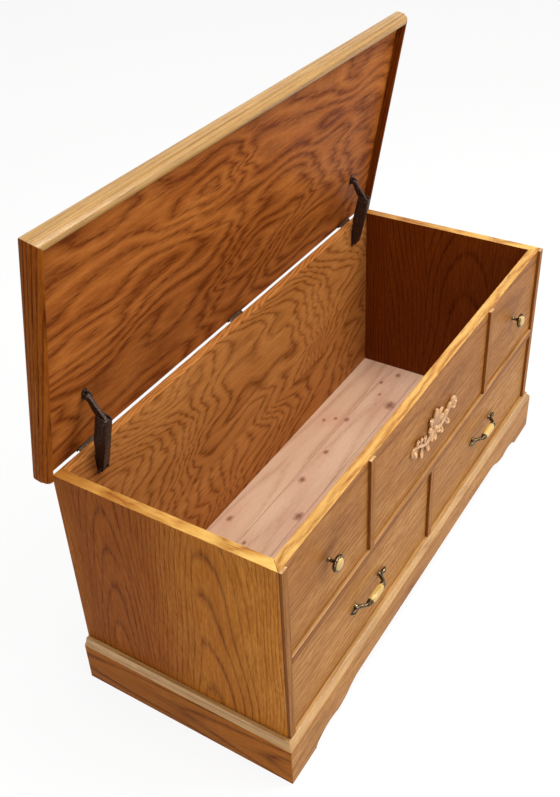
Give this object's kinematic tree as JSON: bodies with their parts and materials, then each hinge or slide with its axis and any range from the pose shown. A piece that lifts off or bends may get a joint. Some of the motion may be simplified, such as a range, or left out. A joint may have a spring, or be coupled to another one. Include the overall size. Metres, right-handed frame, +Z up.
{
  "type": "blanket chest",
  "caption": "Oak blanket chest with a moulded lid on butt hinges and parallelogram stays, strip-panelled front with knobs, bow pulls and a carved onlay, scalloped base, cedar floor.",
  "frame": {"origin": "centre of the standing chest's bounding box in plan, with the lid open, at floor level", "axes": "+X along the chest, to the right seen from the front; -Y to the front; +Z up"},
  "size_m": [1.2124, 0.5212, 1.0202],
  "materials": {
    "oak": "stained and lacquered oak, satin",
    "carved_oak": "carved oak, satin",
    "pale_oak": "turned oak, gloss lacquer",
    "cedar": "bare aromatic cedar",
    "plywood": "bare plywood",
    "pine": "bare pine",
    "antique_brass": "antiqued brass",
    "stay_bronze": "dark bronze lacquer",
    "hinge_bronze": "dark bronze lacquer",
    "screw_steel": "bronzed steel"
  },
  "bodies": {
    "chest": {"back_panel": "oak", "base_back": "pine", "base_front": "oak", "base_left": "oak", "base_right": "oak", "bottom_panel": "plywood", "carved_onlay": "carved_oak", "cedar_board_1": "cedar", "cedar_board_2": "cedar", "cedar_board_3": "cedar", "cedar_board_4": "cedar", "cedar_board_5": "cedar", "corner_blocks": "pine", "end_panel_left": "oak", "end_panel_right": "oak", "front_board": "oak", "hinge_chest_leaf_left": "hinge_bronze", "hinge_chest_leaf_middle": "hinge_bronze", "hinge_chest_leaf_right": "hinge_bronze", "hinge_pin_left": "hinge_bronze", "hinge_pin_middle": "hinge_bronze", "hinge_pin_right": "hinge_bronze", "knob_insert_left": "pale_oak", "knob_insert_right": "pale_oak", "knob_left": "antique_brass", "knob_right": "antique_brass", "mid_rail": "oak", "mullion_lower": "oak", "mullion_upper_left": "oak", "mullion_upper_right": "oak", "pull_grip_left": "pale_oak", "pull_grip_right": "pale_oak", "pull_left": "antique_brass", "pull_right": "antique_brass", "stay_wall_bracket_left": "stay_bronze", "stay_wall_bracket_right": "stay_bronze", "stay_wall_pin_left": "stay_bronze", "stay_wall_pin_right": "stay_bronze", "stile_left": "oak", "stile_right": "oak"},
    "lid": {"hinge_lid_leaf_left": "hinge_bronze", "hinge_lid_leaf_middle": "hinge_bronze", "hinge_lid_leaf_right": "hinge_bronze", "lid_edge_front": "oak", "lid_edge_left": "oak", "lid_edge_right": "oak", "lid_panel": "oak", "stay_lid_bracket_left": "stay_bronze", "stay_lid_bracket_right": "stay_bronze", "stay_lid_pin_left": "stay_bronze", "stay_lid_pin_right": "stay_bronze"},
    "stay_link_left": {"stay_link_left": "stay_bronze", "stay_rivet_left": "stay_bronze"},
    "stay_link_right": {"stay_link_right": "stay_bronze", "stay_rivet_right": "stay_bronze"},
    "stay_arm_left": {"stay_arm_left": "stay_bronze"},
    "stay_arm_right": {"stay_arm_right": "stay_bronze"}
  },
  "joints": [
    {"name": "lid_hinge", "type": "hinge", "parent": "chest", "child": "lid", "pos_m": [0, 0.2364, 0.5325], "axis": [1, 0, 0], "range_deg": [0, 79.95]},
    {"name": "stay_link_hinge_left", "type": "hinge", "parent": "chest", "child": "stay_link_left", "pos_m": [-0.488, 0.2029, 0.488], "axis": [1, 0, 0], "range_deg": [0, 79.95]},
    {"name": "stay_arm_hinge_left", "type": "hinge", "parent": "stay_link_left", "child": "stay_arm_left", "pos_m": [-0.488, 0.1753, 0.60288], "axis": [1, 0, 0], "range_deg": [-79.95, 0]},
    {"name": "stay_link_hinge_right", "type": "hinge", "parent": "chest", "child": "stay_link_right", "pos_m": [0.488, 0.2029, 0.488], "axis": [1, 0, 0], "range_deg": [0, 79.95]},
    {"name": "stay_arm_hinge_right", "type": "hinge", "parent": "stay_link_right", "child": "stay_arm_right", "pos_m": [0.488, 0.1753, 0.60288], "axis": [1, 0, 0], "range_deg": [-79.95, 0]}
  ],
  "couplings": [
    {"joint": "stay_link_hinge_left", "follows": "lid_hinge", "ratio": 1},
    {"joint": "stay_arm_hinge_left", "follows": "lid_hinge", "ratio": -1},
    {"joint": "stay_link_hinge_right", "follows": "lid_hinge", "ratio": 1},
    {"joint": "stay_arm_hinge_right", "follows": "lid_hinge", "ratio": -1}
  ]
}
